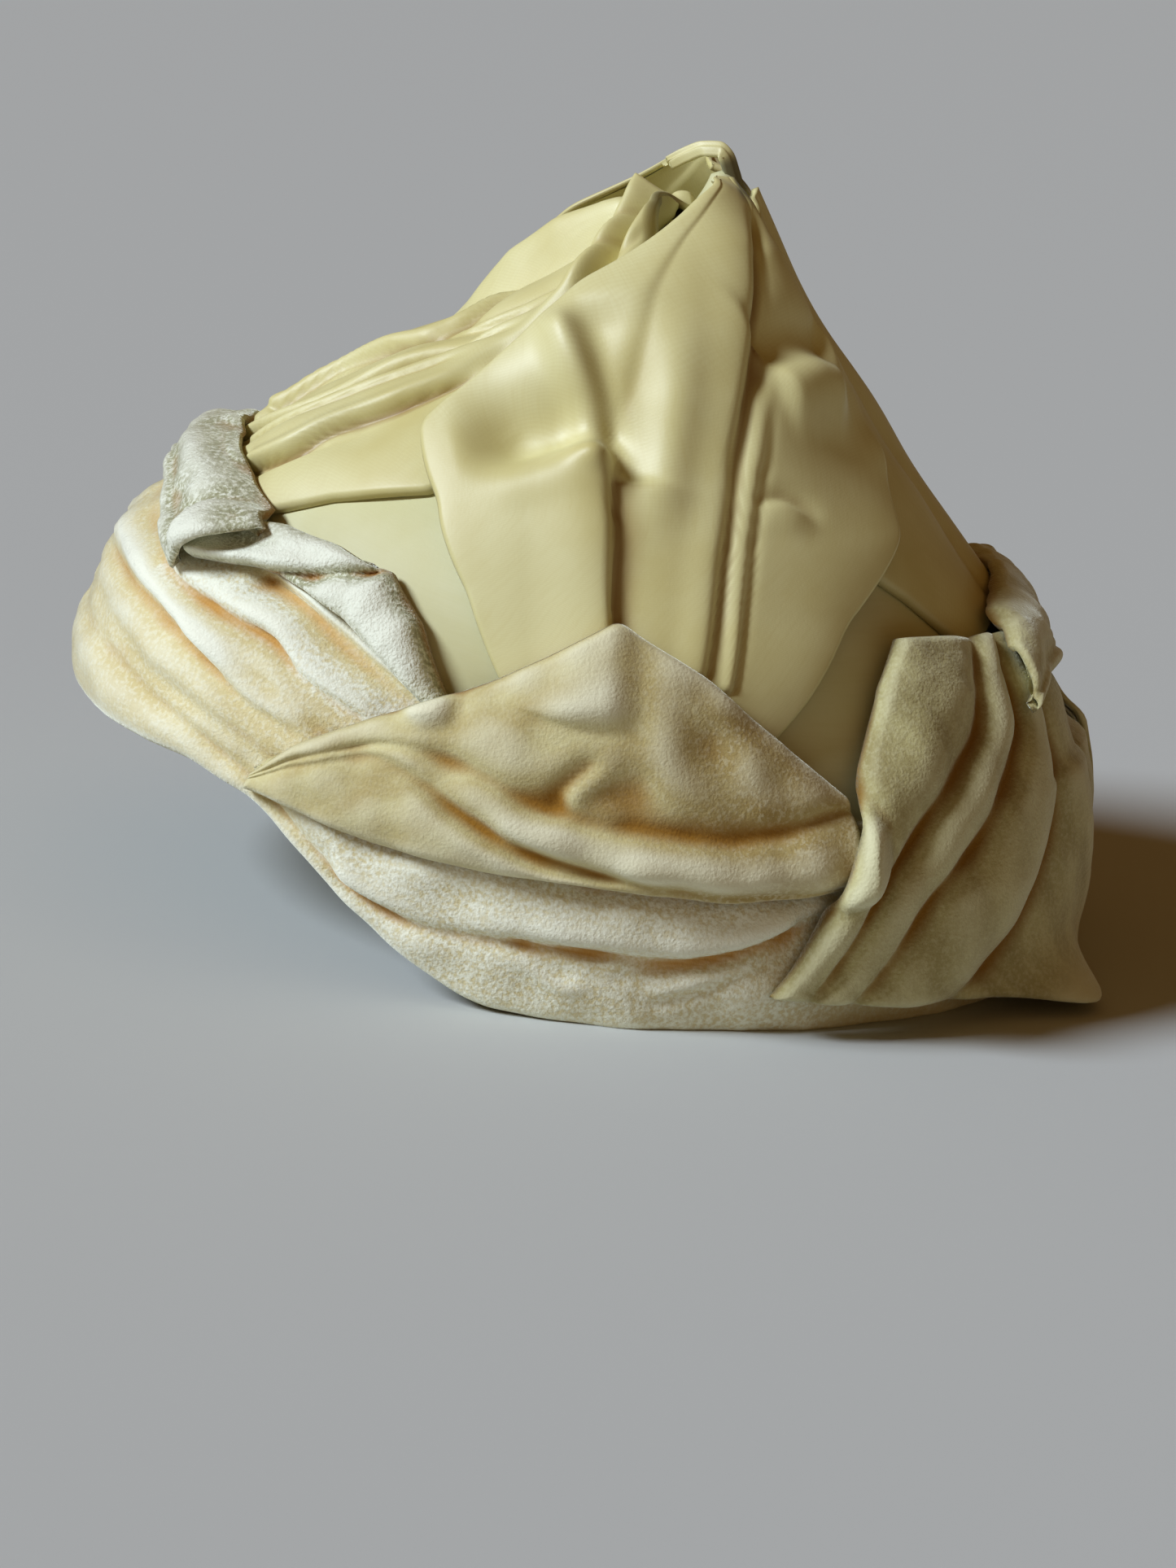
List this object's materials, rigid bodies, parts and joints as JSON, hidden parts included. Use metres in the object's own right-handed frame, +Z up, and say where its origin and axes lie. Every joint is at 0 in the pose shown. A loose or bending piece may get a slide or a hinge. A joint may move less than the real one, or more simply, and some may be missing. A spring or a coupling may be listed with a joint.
{
  "type": "draped cocktail hat",
  "caption": "Small draped cap in ivory satin drawn up to a peak, with a folded velvet band, petals and knots, open below for the head.",
  "frame": {"origin": "centre of the bounding box in plan, on the surface that the hem rests on", "axes": "+Z up through the peak, +X towards the back of the wearer's head, -Y towards the wearer's left"},
  "size_m": [0.224, 0.1912, 0.1627],
  "materials": {
    "cap_satin": "flat satin stretched over a stiff cap",
    "draped_satin": "softly glossy satin, slightly yellowed",
    "velvet": "worn short-pile velvet, deeper gold in the folds"
  },
  "bodies": {
    "root": {"foundation_cap": "cap_satin", "front_drape": "draped_satin", "back_drape": "draped_satin", "side_panel_left": "draped_satin", "side_panel_right": "draped_satin", "peak_pinch": "draped_satin", "velvet_band": "velvet", "front_leaf_left": "velvet", "front_leaf_right": "velvet", "side_petal_left": "velvet", "side_petal_right": "velvet", "back_panel_left": "velvet", "back_panel_right": "velvet", "front_knot": "velvet", "back_knot": "velvet"}
  },
  "joints": []
}
